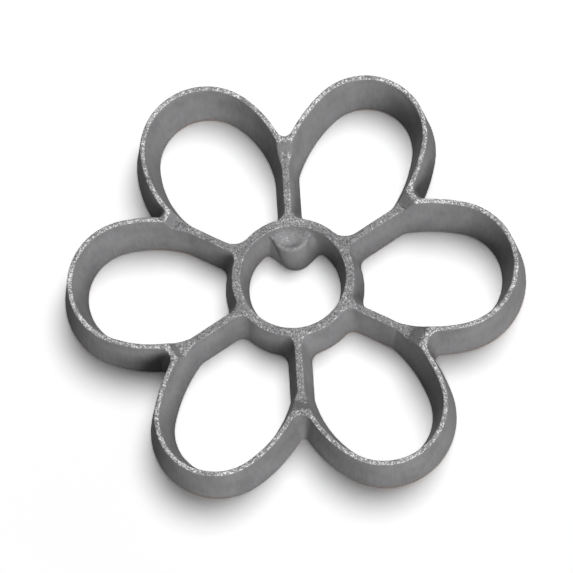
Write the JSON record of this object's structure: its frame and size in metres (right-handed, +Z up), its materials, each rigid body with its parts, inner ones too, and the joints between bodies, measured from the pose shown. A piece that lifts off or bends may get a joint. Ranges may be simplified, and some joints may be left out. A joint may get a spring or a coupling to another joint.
{
  "type": "rosette iron mould",
  "caption": "Open flower mould of a rosette iron: drafted petal walls, webs and a centre ring with a tapped boss for the handle, cast in one piece.",
  "frame": {"origin": "under the middle of the flower, on the plane of the foot that it lies on", "axes": "+Z up from the foot to the batter rims; one petal points along +X; the web with the handle boss points along +Y"},
  "size_m": [0.1036, 0.094, 0.0134],
  "materials": {
    "cast_aluminium": "as cast in sand, dull grey, with bright worn specks along the rims"
  },
  "bodies": {
    "root": {"mould_casting": "cast_aluminium"}
  },
  "joints": []
}
